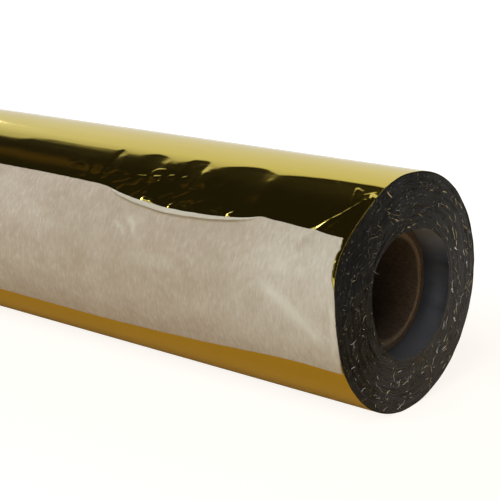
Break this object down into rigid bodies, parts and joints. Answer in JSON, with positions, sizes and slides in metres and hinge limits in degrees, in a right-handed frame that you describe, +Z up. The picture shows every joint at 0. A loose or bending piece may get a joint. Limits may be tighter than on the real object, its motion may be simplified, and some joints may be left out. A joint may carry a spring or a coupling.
{
  "type": "roll of metallised sign film",
  "caption": "Long slim roll of mirror-gloss gold film wound on a recessed board core, its loose end held along the front by a strip of crepe masking tape.",
  "frame": {"origin": "middle of the core's bore: on the roll's axis, halfway along its length", "axes": "+X along the roll's axis, +Z up, -Y the front, where the masking tape is"},
  "size_m": [0.64, 0.059, 0.0585],
  "materials": {
    "gold_film": "polished",
    "film_edges": "satin",
    "core_board": "matte",
    "core_tape": "matte",
    "masking_tape": "matte"
  },
  "bodies": {
    "roll": {"core_ply_1": "core_board", "core_ply_2": "core_board", "core_ply_3": "core_board", "core_ply_4": "core_board", "core_ply_5": "core_board", "core_ply_6": "core_board", "core_tape": "core_tape", "web_band_1": "film_edges", "web_band_2": "film_edges", "web_band_3": "film_edges", "web_band_4": "film_edges", "web_band_5": "film_edges", "web_band_6": "film_edges", "web_last_turn": "gold_film"},
    "tail": {"web_tail": "gold_film", "masking_tape": "masking_tape"}
  },
  "joints": [
    {"name": "tail_lift", "type": "hinge", "parent": "roll", "child": "tail", "pos_m": [0, -0.00856, 0.02823], "axis": [-1, 0, 0], "range_deg": [0, 70]}
  ]
}
